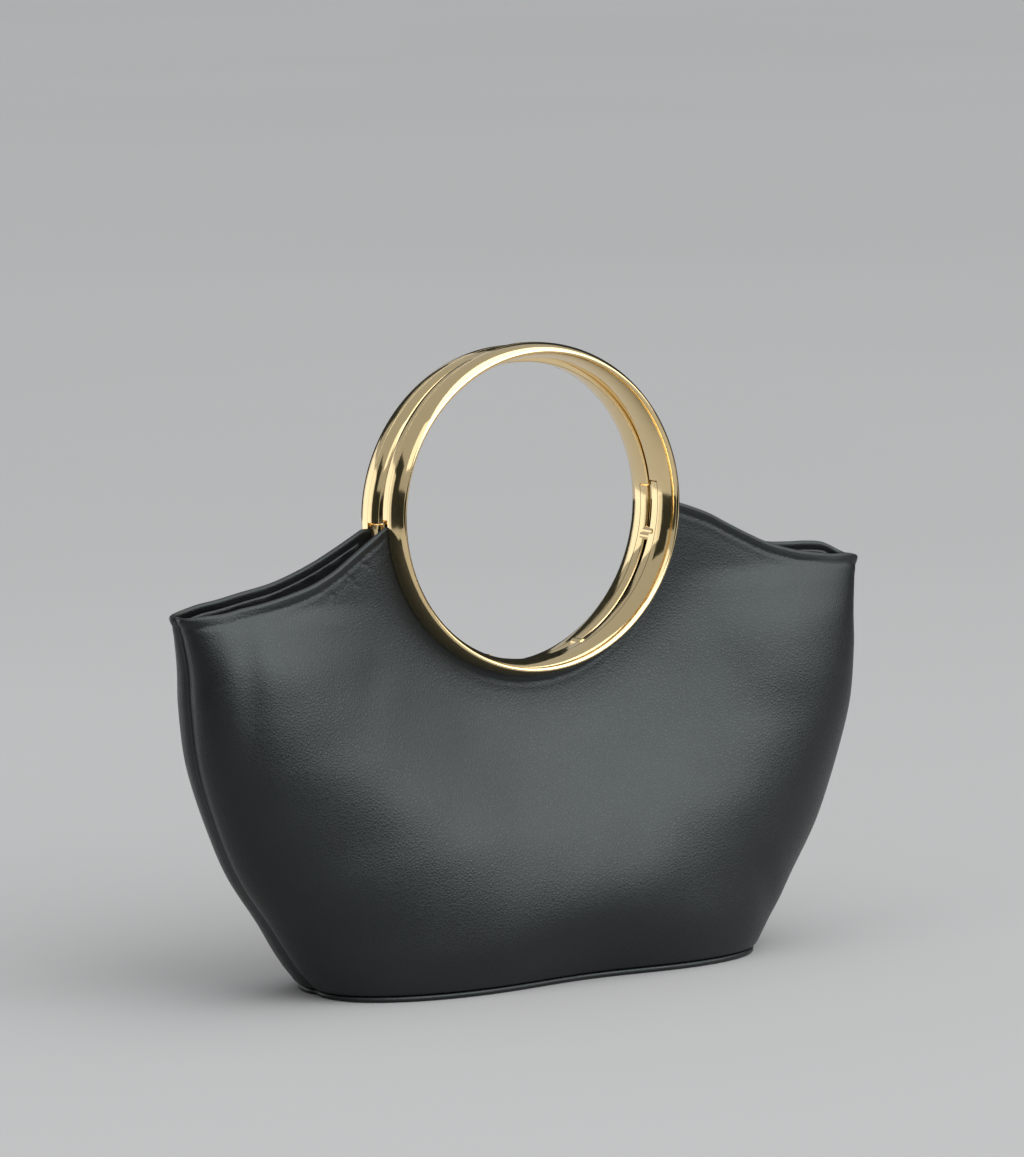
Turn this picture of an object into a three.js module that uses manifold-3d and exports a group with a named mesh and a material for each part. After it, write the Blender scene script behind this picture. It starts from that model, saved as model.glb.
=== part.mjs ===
// Ring handle bag: a small leather handbag with two flat-bored metal rings as handles.
// Millimetres, +X to the right, -Y to the front, +Z up. The origin is on the floor, under the middle.
// Each leather panel hangs in the lower half of its own ring, held between the ring's outer half and
// a screwed clamp. The panels meet in side seams and stand on a flat base panel.
import * as THREE from 'three';
import { mergeVertices } from 'three/addons/utils/BufferGeometryUtils.js';
import Module from 'manifold-3d';

const wasm = await Module();
wasm.setup();

// Clearances
const SEAM_GAP = 0.3;
const JOINT_GAP = 0.3;
const SLOT_CLEARANCE = 0.3;
const SCREW_CLEARANCE = 0.25;

// Leather body
const CORNER_HEIGHT = 144;
const CORNER_HALF_WIDTH = 145;
const FULL_HALF_DEPTH = 41;
const LEATHER = 1.8;
const FACING = 1.0;
const FACING_GAP = 0.8;
const FACING_DROP = 3.2;
const FACING_DEPTH = 15;
const FACING_INNER_SHARE = 0.455;
const FACING_OUTER_SHARE = 0.965;
const BASE_THICKNESS = 2.1;
const SWELL_REACH = 45;
const SEAM_SINK = 1.0;
const SEAM_REACH = 3;
const NECK_BAND = 2;
const SLOPE_STEP = 0.5;

// Rings and clamps. Depths are measured from the plane of the leather that the ring holds.
const RING_OUTER_RADIUS = 61;
const RING_RADIAL = 5.7;
const OUTWARD_DEPTH = 9.5;
const INWARD_DEPTH = 5.3;
const CLAMP_SET_BACK = 0.9;
const CORNER_CHAMFER = 0.5;
const RING_HEIGHT = 171;
const RING_SPACE = 1.1;
const RING_LEAN_DEG = 0.35;
const BACK_RING_DROP = 2;
const RING_TURN_DEG = 3.1;
const CLAMP_RISE_DEG = 3.45;
const CLAMP_END_GAP_DEG = 0.5;
const BITE_DEPTH = 1.9;
const TIP_DROP = 1.7;
const RING_SEGMENTS = 54;

// Clamp screws
const SCREW_ANGLES_DEG = [-163.8, -110.9, -69.1, -16.2];
const SCREW_INSET = 1.4;
const SCREW_HEAD_RADIUS = 1.5;
const SCREW_HEAD_HEIGHT = 1.2;
const SCREW_SHANK_RADIUS = 0.8;
const SCREW_FLOOR = 1.6;
const SCREW_GRIP = 2.4;
const SCREW_SIDES = 10;

const RING_BORE_RADIUS = RING_OUTER_RADIUS - RING_RADIAL;
const SCREW_CIRCLE_RADIUS = RING_BORE_RADIUS + SCREW_INSET;
const SLOT_WIDTH = LEATHER + 2 * SLOT_CLEARANCE;
const BITE_RADIUS = RING_OUTER_RADIUS - BITE_DEPTH;
const CUTOUT_RADIUS = BITE_RADIUS + SLOT_CLEARANCE;
const RING_PLANE_OFFSET = RING_SPACE / 2 + INWARD_DEPTH;
const WALL_FOOT = BASE_THICKNESS + SEAM_GAP;
const LEAN = THREE.MathUtils.degToRad(RING_LEAN_DEG);

// Plan sections of the body. height is a share of CORNER_HEIGHT, width of CORNER_HALF_WIDTH and
// fullness, the half depth away from the rings, of FULL_HALF_DEPTH. A higher squareness has fuller
// corners beside the side seams.
const SECTIONS = [
  { height: 0.0, width: 0.6, fullness: 0.9, squareness: 3.0 },
  { height: 0.032, width: 0.64, fullness: 0.94, squareness: 2.8 },
  { height: 0.07, width: 0.673, fullness: 0.975, squareness: 2.6 },
  { height: 0.12, width: 0.708, fullness: 1.0, squareness: 2.5 },
  { height: 0.19, width: 0.753, fullness: 1.0, squareness: 2.4 },
  { height: 0.317, width: 0.838, fullness: 0.965, squareness: 2.4 },
  { height: 0.444, width: 0.894, fullness: 0.92, squareness: 2.5 },
  { height: 0.606, width: 0.943, fullness: 0.84, squareness: 2.8 },
  { height: 0.76, width: 0.961, fullness: 0.75, squareness: 3.1 },
  { height: 0.852, width: 0.965, fullness: 0.66, squareness: 3.2 },
  { height: 0.937, width: 0.981, fullness: 0.49, squareness: 3.2 },
  { height: 1.0, width: 1.0, fullness: 0.34, squareness: 3.2 },
  { height: 1.2, width: 1.0, fullness: 0.26, squareness: 3.2 },
];

// Drop of the top edges below the ring's centre, as shares of RING_HEIGHT. across is a share of
// CORNER_HALF_WIDTH.
const TOP_EDGE = [
  { across: 0.42, front_left: 0.01, front_right: 0.01, back_left: 0.01, back_right: 0.01 },
  { across: 0.45, front_left: 0.026, front_right: 0.015, back_left: 0.025, back_right: 0.015 },
  { across: 0.53, front_left: 0.069, front_right: 0.041, back_left: 0.062, back_right: 0.041 },
  { across: 0.58, front_left: 0.094, front_right: 0.064, back_left: 0.084, back_right: 0.064 },
  { across: 0.64, front_left: 0.116, front_right: 0.091, back_left: 0.106, back_right: 0.089 },
  { across: 0.7, front_left: 0.13, front_right: 0.115, back_left: 0.123, back_right: 0.111 },
  { across: 0.78, front_left: 0.144, front_right: 0.136, back_left: 0.136, back_right: 0.129 },
  { across: 0.85, front_left: 0.153, front_right: 0.147, back_left: 0.147, back_right: 0.134 },
  { across: 0.9, front_left: 0.16, front_right: 0.153, back_left: 0.152, back_right: 0.135 },
  { across: 0.95, front_left: 0.163, front_right: 0.155, back_left: 0.16, back_right: 0.141 },
  { across: 1.0, front_left: 0.167, front_right: 0.165, back_left: 0.167, back_right: 0.165 },
];

// Outline of the ring's outward half from the bore over its nose, and of the inward half's outer
// shoulder. across is a share of RING_RADIAL from the bore, deep of OUTWARD_DEPTH or INWARD_DEPTH.
const NOSE = [
  { across: 0.0, deep: 0.05 },
  { across: 0.05, deep: 0.36 },
  { across: 0.17, deep: 0.67 },
  { across: 0.34, deep: 0.91 },
  { across: 0.52, deep: 1.0 },
  { across: 0.7, deep: 0.91 },
  { across: 0.86, deep: 0.71 },
  { across: 0.96, deep: 0.47 },
];
const SHOULDER = [
  { across: 0.94, deep: 0.48 },
  { across: 0.81, deep: 0.8 },
  { across: 0.56, deep: 1.0 },
];

// Soft dents pressed into the panels. across is a share of CORNER_HALF_WIDTH, up of CORNER_HEIGHT,
// depth and both reaches are shares of FULL_HALF_DEPTH.
const DENTS = {
  front: [
    { across: 0.06, up: 0.02, depth: 0.17, reach_across: 0.95, reach_up: 0.42 },
    { across: -0.62, up: 0.5, depth: 0.05, reach_across: 0.5, reach_up: 1.3 },
    { across: 0.55, up: 0.62, depth: 0.06, reach_across: 0.7, reach_up: 0.6 },
  ],
  back: [
    { across: -0.05, up: 0.02, depth: 0.13, reach_across: 0.95, reach_up: 0.4 },
    { across: 0.5, up: 0.6, depth: 0.05, reach_across: 0.7, reach_up: 0.7 },
  ],
};

// Smooth value of a table's column where its key column has the value at.
function smooth(table, key, column, at) {
  const last = table.length - 1;
  const x = Math.min(Math.max(at, table[0][key]), table[last][key]);
  let i = 0;
  while (i < last - 1 && x > table[i + 1][key]) {
    i += 1;
  }
  const slope = (k) => {
    const a = table[Math.max(k - 1, 0)];
    const b = table[Math.min(k + 1, last)];
    return (b[column] - a[column]) / (b[key] - a[key]);
  };
  const span = table[i + 1][key] - table[i][key];
  const t = (x - table[i][key]) / span;
  const rise = table[i + 1][column] - table[i][column];
  const near = slope(i) * span - rise;
  const far = rise - slope(i + 1) * span;
  return table[i][column] + rise * t + t * (1 - t) * (near * (1 - t) + far * t);
}

const section = (column, z) => smooth(SECTIONS, 'height', column, z / CORNER_HEIGHT);
const halfWidth = (z) => CORNER_HALF_WIDTH * section('width', z);

function denting(dents, x, z) {
  let sum = 0;
  for (const dent of dents) {
    const dx = (x - dent.across * CORNER_HALF_WIDTH) / (dent.reach_across * FULL_HALF_DEPTH);
    const dz = (z - dent.up * CORNER_HEIGHT) / (dent.reach_up * FULL_HALF_DEPTH);
    sum += dent.depth * FULL_HALF_DEPTH * Math.exp(-dx * dx - dz * dz);
  }
  return sum;
}

// A point in the middle of a panel's leather. share runs across from -1 to 1, facing is -1 for the
// front panel and 1 for the back one. Near its ring the leather lies in the ring's plane, and it
// swells away from it.
function panelPoint(panel, share, z) {
  const side = Math.min(Math.abs(share), 1);
  const width = halfWidth(z);
  const x = Math.sign(share) * side * width;
  const power = section('squareness', z);
  const plan = (1 - side ** power) ** (1 / power);
  const held = RING_PLANE_OFFSET + (panel.ringHeight - z) * Math.tan(LEAN);
  const away = Math.max(Math.hypot(x, z - panel.ringHeight) - RING_OUTER_RADIUS, 0);
  const free = 1 - Math.exp(-((away / SWELL_REACH) ** 2));
  const full = FULL_HALF_DEPTH * section('fullness', z) * plan;
  const depth = held + (full - held) * free - denting(panel.dents, x, z) * plan * free;
  const sink = SEAM_SINK * Math.exp(-((depth / SEAM_REACH) ** 2));
  return new THREE.Vector3(x - Math.sign(x) * sink, panel.facing * (SEAM_GAP / 2 + depth), z);
}

// The unit direction out of the bag at that point.
function panelNormal(panel, share, z) {
  const step = 0.004;
  const left = panelPoint(panel, Math.max(share - step, -1), z);
  const right = panelPoint(panel, Math.min(share + step, 1), z);
  const low = panelPoint(panel, share, z - SLOPE_STEP);
  const high = panelPoint(panel, share, z + SLOPE_STEP);
  const normal = right.sub(left).cross(high.sub(low)).multiplyScalar(-panel.facing);
  if (Math.abs(share) > 0.9999) {
    normal.y = 0;
  }
  if (z <= WALL_FOOT) {
    normal.z = 0;
  }
  return normal.normalize();
}

function topEdge(panel, x) {
  const column = `${panel.name}_${x < 0 ? 'left' : 'right'}`;
  const drop = smooth(TOP_EDGE, 'across', column, Math.abs(x) / CORNER_HALF_WIDTH);
  return RING_HEIGHT - drop * RING_HEIGHT;
}

// The height where a panel ends at a share of its width: the round cut-out or the top edge.
function panelTop(panel, share) {
  let z = panel.ringHeight - RING_OUTER_RADIUS;
  for (let i = 0; i < 12; i += 1) {
    const x = share * halfWidth(z);
    const tip = panel.ringHeight - TIP_DROP;
    const inCutout = Math.abs(x) < CUTOUT_RADIUS;
    const arc = panel.ringHeight - Math.sqrt(Math.max(CUTOUT_RADIUS ** 2 - x * x, 0));
    z = inCutout ? Math.min(arc, tip) : Math.min(topEdge(panel, x), tip);
  }
  return z;
}

// Shares of the width where the panel's columns lie, closer together beside the ring and at the seams.
function panelColumns() {
  const tip = CUTOUT_RADIUS / CORNER_HALF_WIDTH;
  const neck = (RING_OUTER_RADIUS + NECK_BAND) / CORNER_HALF_WIDTH;
  const half = [];
  const inner = 9;
  const outer = 10;
  for (let i = 1; i <= inner; i += 1) {
    half.push(tip * Math.sin((i / inner) * Math.PI / 2));
  }
  for (let i = 0; i <= outer; i += 1) {
    half.push(1 - (1 - neck) * (1 - i / outer) ** 2.2);
  }
  return [...half.map((s) => -s).reverse(), 0, ...half];
}

const PANEL_ROWS = [0, 0.025, 0.06, 0.11, 0.18, 0.28, 0.4, 0.53, 0.66, 0.78, 0.88, 0.96, 1];

// A closed sheet between two grids of points, outside and inside.
function closedSheet(outside, inside) {
  const rows = outside.length;
  const columns = outside[0].length;
  const points = [...outside.flat(), ...inside.flat()];
  const at = (layer, row, column) => layer * rows * columns + row * columns + column;
  const index = [];
  const quad = (a, b, c, d) => index.push(a, b, c, a, c, d);
  for (let r = 0; r < rows - 1; r += 1) {
    for (let c = 0; c < columns - 1; c += 1) {
      quad(at(0, r, c), at(0, r, c + 1), at(0, r + 1, c + 1), at(0, r + 1, c));
      quad(at(1, r, c), at(1, r + 1, c), at(1, r + 1, c + 1), at(1, r, c + 1));
    }
  }
  for (let c = 0; c < columns - 1; c += 1) {
    quad(at(1, 0, c), at(1, 0, c + 1), at(0, 0, c + 1), at(0, 0, c));
    quad(at(0, rows - 1, c), at(0, rows - 1, c + 1), at(1, rows - 1, c + 1), at(1, rows - 1, c));
  }
  for (let r = 0; r < rows - 1; r += 1) {
    quad(at(0, r, 0), at(0, r + 1, 0), at(1, r + 1, 0), at(1, r, 0));
    const end = columns - 1;
    quad(at(1, r, end), at(1, r + 1, end), at(0, r + 1, end), at(0, r, end));
  }
  const geometry = new THREE.BufferGeometry().setFromPoints(points);
  geometry.setIndex(index);
  return facingOut(geometry);
}

function signedVolume(geometry) {
  const position = geometry.attributes.position;
  const index = geometry.index.array;
  const a = new THREE.Vector3();
  const b = new THREE.Vector3();
  const c = new THREE.Vector3();
  let sum = 0;
  for (let i = 0; i < index.length; i += 3) {
    a.fromBufferAttribute(position, index[i]);
    b.fromBufferAttribute(position, index[i + 1]);
    c.fromBufferAttribute(position, index[i + 2]);
    sum += a.dot(b.cross(c)) / 6;
  }
  return sum;
}

function facingOut(geometry) {
  if (signedVolume(geometry) < 0) {
    const index = geometry.index.array;
    for (let i = 0; i < index.length; i += 3) {
      [index[i], index[i + 1]] = [index[i + 1], index[i]];
    }
  }
  return geometry;
}

function merged(geometry) {
  const bare = geometry.clone();
  bare.deleteAttribute('normal');
  bare.deleteAttribute('uv');
  return facingOut(mergeVertices(bare, 1e-4));
}

function solid(geometry) {
  const closed = merged(geometry);
  const mesh = new wasm.Mesh({
    numProp: 3,
    vertProperties: new Float32Array(closed.attributes.position.array),
    triVerts: new Uint32Array(closed.index.array),
  });
  return new wasm.Manifold(mesh);
}

function geometryOf(manifold) {
  const mesh = manifold.getMesh();
  const geometry = new THREE.BufferGeometry();
  geometry.setAttribute('position', new THREE.BufferAttribute(new Float32Array(mesh.vertProperties), 3));
  geometry.setIndex(new THREE.BufferAttribute(new Uint32Array(mesh.triVerts), 1));
  return geometry;
}

function sheetOf(panel, columns, heights, thickness, inset) {
  const outside = [];
  const inside = [];
  const rows = heights(columns[0]).length;
  for (let r = 0; r < rows; r += 1) {
    const outer = [];
    const inner = [];
    for (const share of columns) {
      const z = heights(share)[r];
      const point = panelPoint(panel, share, z);
      const normal = panelNormal(panel, share, z);
      outer.push(point.clone().addScaledVector(normal, -inset + thickness / 2));
      inner.push(point.clone().addScaledVector(normal, -inset - thickness / 2));
    }
    outside.push(outer);
    inside.push(inner);
  }
  return closedSheet(outside, inside);
}

function panelGeometry(panel) {
  const heights = (share) => PANEL_ROWS.map((v) => WALL_FOOT + v * (panelTop(panel, share) - WALL_FOOT));
  return sheetOf(panel, panelColumns(), heights, LEATHER, 0);
}

// A band of thinner leather inside the mouth, along one side of the top edge.
function facingGeometry(panel, side) {
  const columns = panelColumns().filter((share) => {
    const across = share * side;
    return across > FACING_INNER_SHARE && across < FACING_OUTER_SHARE;
  });
  const heights = (share) => {
    const top = panelTop(panel, share) - FACING_DROP;
    return [top - FACING_DEPTH, top - FACING_DEPTH / 2, top];
  };
  return sheetOf(panel, columns, heights, FACING, LEATHER / 2 + FACING_GAP + FACING / 2);
}

// The base: a flat plate with the outline of the panels' feet.
function baseGeometry(front, back) {
  const foot = (panel, share) => {
    const point = panelPoint(panel, share, WALL_FOOT);
    return point.addScaledVector(panelNormal(panel, share, WALL_FOOT), LEATHER / 2);
  };
  const columns = panelColumns();
  const outline = [
    ...columns.map((share) => foot(front, share)),
    ...columns.map((share) => foot(back, -share)),
  ];
  const shape = new THREE.Shape(outline.map((p) => new THREE.Vector2(p.x, p.y)));
  return merged(new THREE.ExtrudeGeometry(shape, { depth: BASE_THICKNESS, bevelEnabled: false }));
}

function outlinePoints(table, depth) {
  return table.map((row) => [RING_BORE_RADIUS + row.across * RING_RADIAL, row.deep * depth]);
}

// Profiles of the ring as pairs of radius and depth. Depth 0 is the plane of the leather, the nose is
// at negative depth and the flat inward face at positive depth.
function shellProfile() {
  return [
    ...outlinePoints(NOSE, -OUTWARD_DEPTH),
    [RING_OUTER_RADIUS, -SLOT_WIDTH / 2],
    [BITE_RADIUS, -SLOT_WIDTH / 2],
    [BITE_RADIUS, -JOINT_GAP / 2],
    [RING_BORE_RADIUS, -JOINT_GAP / 2],
  ];
}

function inwardProfile(foot, step, top) {
  return [
    [RING_BORE_RADIUS, foot],
    [BITE_RADIUS, foot],
    [BITE_RADIUS, step],
    [RING_OUTER_RADIUS, step],
    ...outlinePoints(SHOULDER, top),
    [RING_BORE_RADIUS + CORNER_CHAMFER, top],
    [RING_BORE_RADIUS, top - CORNER_CHAMFER],
  ];
}

function revolved(profile) {
  const points = [...profile, profile[0]].map(([r, y]) => new THREE.Vector2(r, y));
  const geometry = new THREE.LatheGeometry(points, RING_SEGMENTS);
  return solid(geometry);
}

// A wedge around the ring's axis, counterclockwise between two angles as seen from the front.
function wedge(fromDeg, toDeg) {
  const reach = RING_OUTER_RADIUS * 1.5;
  const outline = [new THREE.Vector2(0, 0)];
  const steps = 12;
  for (let i = 0; i <= steps; i += 1) {
    const angle = THREE.MathUtils.degToRad(fromDeg + ((toDeg - fromDeg) * i) / steps);
    outline.push(new THREE.Vector2(reach * Math.cos(angle), reach * Math.sin(angle)));
  }
  const depth = 4 * OUTWARD_DEPTH;
  const geometry = new THREE.ExtrudeGeometry(new THREE.Shape(outline), { depth, bevelEnabled: false });
  geometry.translate(0, 0, -depth / 2);
  geometry.rotateX(Math.PI / 2);
  return solid(geometry);
}

function screwPlace(angleDeg) {
  const angle = THREE.MathUtils.degToRad(angleDeg);
  return [SCREW_CIRCLE_RADIUS * Math.cos(angle), SCREW_CIRCLE_RADIUS * Math.sin(angle)];
}

function pin(radius, fromDepth, toDepth, angleDeg) {
  const [x, z] = screwPlace(angleDeg);
  const length = toDepth - fromDepth;
  const geometry = new THREE.CylinderGeometry(radius, radius, length, SCREW_SIDES);
  geometry.translate(x, (fromDepth + toDepth) / 2, z);
  return solid(geometry);
}

const CLAMP_FOOT = JOINT_GAP / 2;
const HEAD_SEAT = CLAMP_FOOT + SCREW_FLOOR;

function ringGeometry() {
  const upper = revolved(inwardProfile(-JOINT_GAP, -SLOT_WIDTH / 2 - JOINT_GAP, INWARD_DEPTH));
  const upperArc = upper.intersect(wedge(CLAMP_RISE_DEG, 180 - CLAMP_RISE_DEG));
  let ring = revolved(shellProfile()).add(upperArc);
  for (const angle of SCREW_ANGLES_DEG) {
    const hole = SCREW_SHANK_RADIUS + SCREW_CLEARANCE;
    ring = ring.subtract(pin(hole, -SCREW_GRIP - SCREW_CLEARANCE, OUTWARD_DEPTH, angle));
  }
  return geometryOf(ring);
}

function clampGeometry() {
  const lower = revolved(inwardProfile(CLAMP_FOOT, SLOT_WIDTH / 2, INWARD_DEPTH - CLAMP_SET_BACK));
  const from = 180 - CLAMP_RISE_DEG + CLAMP_END_GAP_DEG;
  const to = 360 + CLAMP_RISE_DEG - CLAMP_END_GAP_DEG;
  let clamp = lower.intersect(wedge(from, to));
  for (const angle of SCREW_ANGLES_DEG) {
    clamp = clamp.subtract(pin(SCREW_SHANK_RADIUS + SCREW_CLEARANCE, -1, OUTWARD_DEPTH, angle));
    clamp = clamp.subtract(pin(SCREW_HEAD_RADIUS + SCREW_CLEARANCE, HEAD_SEAT, OUTWARD_DEPTH, angle));
  }
  return geometryOf(clamp);
}

function screwGeometry(angleDeg) {
  const seat = HEAD_SEAT + SCREW_CLEARANCE;
  const shank = pin(SCREW_SHANK_RADIUS, -SCREW_GRIP, seat + 0.2, angleDeg);
  const head = pin(SCREW_HEAD_RADIUS, seat, seat + SCREW_HEAD_HEIGHT, angleDeg);
  const socket = pin(SCREW_HEAD_RADIUS * 0.45, seat + SCREW_HEAD_HEIGHT / 2, OUTWARD_DEPTH, angleDeg);
  return geometryOf(shank.add(head).subtract(socket));
}

const leather = new THREE.MeshStandardMaterial({ color: 0x16181b, roughness: 0.42, metalness: 0 });
const facingLeather = new THREE.MeshStandardMaterial({ color: 0x121417, roughness: 0.35, metalness: 0 });
const gold = new THREE.MeshStandardMaterial({ color: 0xd9b872, roughness: 0.12, metalness: 1 });
const screwMetal = new THREE.MeshStandardMaterial({ color: 0xa07a45, roughness: 0.3, metalness: 1 });

function named(name, geometry, material) {
  const mesh = new THREE.Mesh(geometry, material);
  mesh.name = name;
  return mesh;
}

const FRONT = {
  name: 'front',
  facing: -1,
  ringHeight: RING_HEIGHT,
  dents: DENTS.front,
};
const BACK = {
  name: 'back',
  facing: 1,
  ringHeight: RING_HEIGHT - BACK_RING_DROP,
  dents: DENTS.back,
};

const group = new THREE.Group();
const ringShape = ringGeometry();
const clampShape = clampGeometry();

for (const panel of [FRONT, BACK]) {
  group.add(named(`${panel.name}_panel`, panelGeometry(panel), leather));
  group.add(named(`${panel.name}_left_facing`, facingGeometry(panel, -1), facingLeather));
  group.add(named(`${panel.name}_right_facing`, facingGeometry(panel, 1), facingLeather));

  const side = new THREE.Group();
  side.rotation.z = panel.facing > 0 ? Math.PI : 0;
  const hung = new THREE.Group();
  hung.position.set(0, -RING_PLANE_OFFSET, panel.ringHeight);
  hung.rotation.x = -LEAN;
  const turned = new THREE.Group();
  turned.rotation.y = THREE.MathUtils.degToRad(RING_TURN_DEG) * panel.facing;
  turned.add(named(`${panel.name}_ring`, ringShape, gold));
  turned.add(named(`${panel.name}_clamp`, clampShape, gold));
  SCREW_ANGLES_DEG.forEach((angle, i) => {
    turned.add(named(`${panel.name}_screw_${i + 1}`, screwGeometry(angle), screwMetal));
  });
  hung.add(turned);
  side.add(hung);
  group.add(side);
}
group.add(named('base_panel', baseGeometry(FRONT, BACK), leather));

export default group;
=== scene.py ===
import bpy
import bmesh
import math
import numpy as np
from mathutils import Matrix, Vector


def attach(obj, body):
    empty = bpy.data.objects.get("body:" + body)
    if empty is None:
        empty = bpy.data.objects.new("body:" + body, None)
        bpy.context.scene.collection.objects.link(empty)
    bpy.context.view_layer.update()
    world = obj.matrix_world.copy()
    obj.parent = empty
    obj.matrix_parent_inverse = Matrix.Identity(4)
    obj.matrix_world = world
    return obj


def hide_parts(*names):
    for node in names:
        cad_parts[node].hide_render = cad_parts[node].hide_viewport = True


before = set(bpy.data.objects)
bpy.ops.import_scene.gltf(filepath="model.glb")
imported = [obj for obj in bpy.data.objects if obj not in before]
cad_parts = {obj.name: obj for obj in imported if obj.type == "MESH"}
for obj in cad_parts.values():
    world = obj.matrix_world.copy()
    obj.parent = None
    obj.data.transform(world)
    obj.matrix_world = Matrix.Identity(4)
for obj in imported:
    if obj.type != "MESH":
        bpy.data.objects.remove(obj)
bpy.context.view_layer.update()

# Sizes in millimetres, as in the solids. Pieces are turned into metres where their meshes are made.
MM = 0.001

# Clearances
SEAM_GAP = 0.3
JOINT_GAP = 0.3
SLOT_CLEARANCE = 0.3
SCREW_CLEARANCE = 0.25

# Body, facings and base
CORNER_HEIGHT = 144.0
CORNER_HALF_WIDTH = 145.0
FULL_HALF_DEPTH = 41.0
LEATHER = 1.8
FACING = 1.0
FACING_GAP = 0.8
FACING_DROP = 3.2
FACING_DEPTH = 15.0
FACING_INNER_SHARE = 0.455
FACING_OUTER_SHARE = 0.965
BASE_THICKNESS = 2.1
SWELL_REACH = 45.0
SEAM_SINK = 1.0
SEAM_REACH = 3.0
TIP_DROP = 1.7

# Edges of the leather: half the rim, the foot's tuck, the ring's press, and how far from the ring
# the edge, the folds and the waves begin
RIM_HALF = 1.2
FACING_RIM = 0.5
FOOT_TURN = 1.6
FOOT_TUCK = 0.75
RING_PRESS = 0.12
EDGE_FREE_FROM = 0.6
EDGE_FREE_TO = 3.0
LOOSE_REACH = 14.0
LOOSE_DEPTH = 9.0
FOLD_FADE = 10.0

# Meshes of the leather: rows follow the edge down to NEAR_EDGE and the sheet's height below it, and
# columns crowd at the side seams and at the tips beside the ring, there as shares across
NEAR_EDGE = 16.0
SHEET_DEPTH = 150.0
RIM_STEPS = 9
FACING_RIM_STEPS = 6
SEAM_COLUMNS = (1.5, 1.0, 0.6, 0.3, 0.1, 0.0)
TIP_CLEAR = 0.012
TIP_COLUMNS = (-0.009, -0.0045, -0.0015, 0.0, 0.002, 0.006)

# Rings, clamps and screws
RING_OUTER_RADIUS = 61.0
RING_RADIAL = 5.7
OUTWARD_DEPTH = 9.5
INWARD_DEPTH = 5.3
CLAMP_SET_BACK = 0.9
CORNER_ROUND = 0.6
RING_HEIGHT = 171.0
RING_SPACE = 1.1
RING_LEAN_DEG = 0.35
BACK_RING_DROP = 2.0
RING_TURN_DEG = 3.1
CLAMP_RISE_DEG = 3.45
CLAMP_END_GAP_DEG = 0.5
BITE_DEPTH = 1.9
GROOVE = 0.12
BLOCK_GROOVE = 0.02
RING_CREASE_DEG = 32
SCREW_CREASE_DEG = 35
SCREW_ANGLES_DEG = (-163.8, -110.9, -69.1, -16.2)
SCREW_CIRCLE_RADIUS = 56.7
SCREW_HEAD_RADIUS = 1.5
SCREW_HEAD_HEIGHT = 1.2
SCREW_FLOOR = 1.6
POCKET_OVERRUN = 2.7

# Sizes that follow from these
RING_BORE_RADIUS = RING_OUTER_RADIUS - RING_RADIAL
SLOT_WIDTH = LEATHER + 2 * SLOT_CLEARANCE
BITE_RADIUS = RING_OUTER_RADIUS - BITE_DEPTH
CUTOUT_RADIUS = BITE_RADIUS + SLOT_CLEARANCE
RING_PLANE_OFFSET = RING_SPACE / 2 + INWARD_DEPTH
WALL_FOOT = BASE_THICKNESS + SEAM_GAP
LEAN = math.radians(RING_LEAN_DEG)

# Plan sections of the body: height as a share of CORNER_HEIGHT, then width, fullness and squareness.
SECTIONS = np.array([
    (0.0, 0.6, 0.9, 3.0),
    (0.032, 0.64, 0.94, 2.8),
    (0.07, 0.673, 0.975, 2.6),
    (0.12, 0.708, 1.0, 2.5),
    (0.19, 0.753, 1.0, 2.4),
    (0.317, 0.838, 0.965, 2.4),
    (0.444, 0.894, 0.92, 2.5),
    (0.606, 0.943, 0.84, 2.8),
    (0.76, 0.961, 0.75, 3.1),
    (0.852, 0.965, 0.66, 3.2),
    (0.937, 0.981, 0.49, 3.2),
    (1.0, 1.0, 0.34, 3.2),
    (1.2, 1.0, 0.26, 3.2),
])
WIDTH, FULLNESS, SQUARENESS = 1, 2, 3

# Drop of the top edges below the ring's centre: across, front left, front right, back left, back right.
TOP_EDGE = np.array([
    (0.42, 0.01, 0.01, 0.01, 0.01),
    (0.45, 0.026, 0.015, 0.025, 0.015),
    (0.53, 0.069, 0.041, 0.062, 0.041),
    (0.58, 0.094, 0.064, 0.084, 0.064),
    (0.64, 0.116, 0.091, 0.106, 0.089),
    (0.7, 0.13, 0.115, 0.123, 0.111),
    (0.78, 0.144, 0.136, 0.136, 0.129),
    (0.85, 0.153, 0.147, 0.147, 0.134),
    (0.9, 0.16, 0.153, 0.152, 0.135),
    (0.95, 0.163, 0.155, 0.16, 0.141),
    (1.0, 0.167, 0.165, 0.167, 0.165),
])

# Outline of the ring's outward half over its nose and of the inward half's shoulder: share of
# RING_RADIAL from the bore, share of the half's depth.
NOSE = [
    (0.0, 0.05), (0.05, 0.36), (0.17, 0.67), (0.34, 0.91), (0.52, 1.0),
    (0.7, 0.91), (0.86, 0.71), (0.96, 0.47), (0.997, 0.25),
]
SHOULDER = [(0.985, 0.25), (0.94, 0.48), (0.81, 0.8), (0.56, 1.0)]

# The base plate's edge, in millimetres: inset from its outline, height.
BASE_EDGE = [
    (3.0, 0.0), (0.9, 0.0), (0.45, 0.12), (0.12, 0.5), (0.0, 1.05),
    (0.12, 1.6), (0.45, 1.98), (0.9, BASE_THICKNESS), (3.0, BASE_THICKNESS),
]

# Soft dents: across and up as shares of the corners' half width and height, then depth, reach across
# and reach up as shares of FULL_HALF_DEPTH.
DENTS = {
    "front": [
        (0.06, 0.02, 0.17, 0.95, 0.42),
        (-0.62, 0.5, 0.05, 0.5, 1.3),
        (0.55, 0.62, 0.06, 0.7, 0.6),
    ],
    "back": [
        (-0.05, 0.02, 0.13, 0.95, 0.4),
        (0.5, 0.6, 0.05, 0.7, 0.7),
    ],
}

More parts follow.
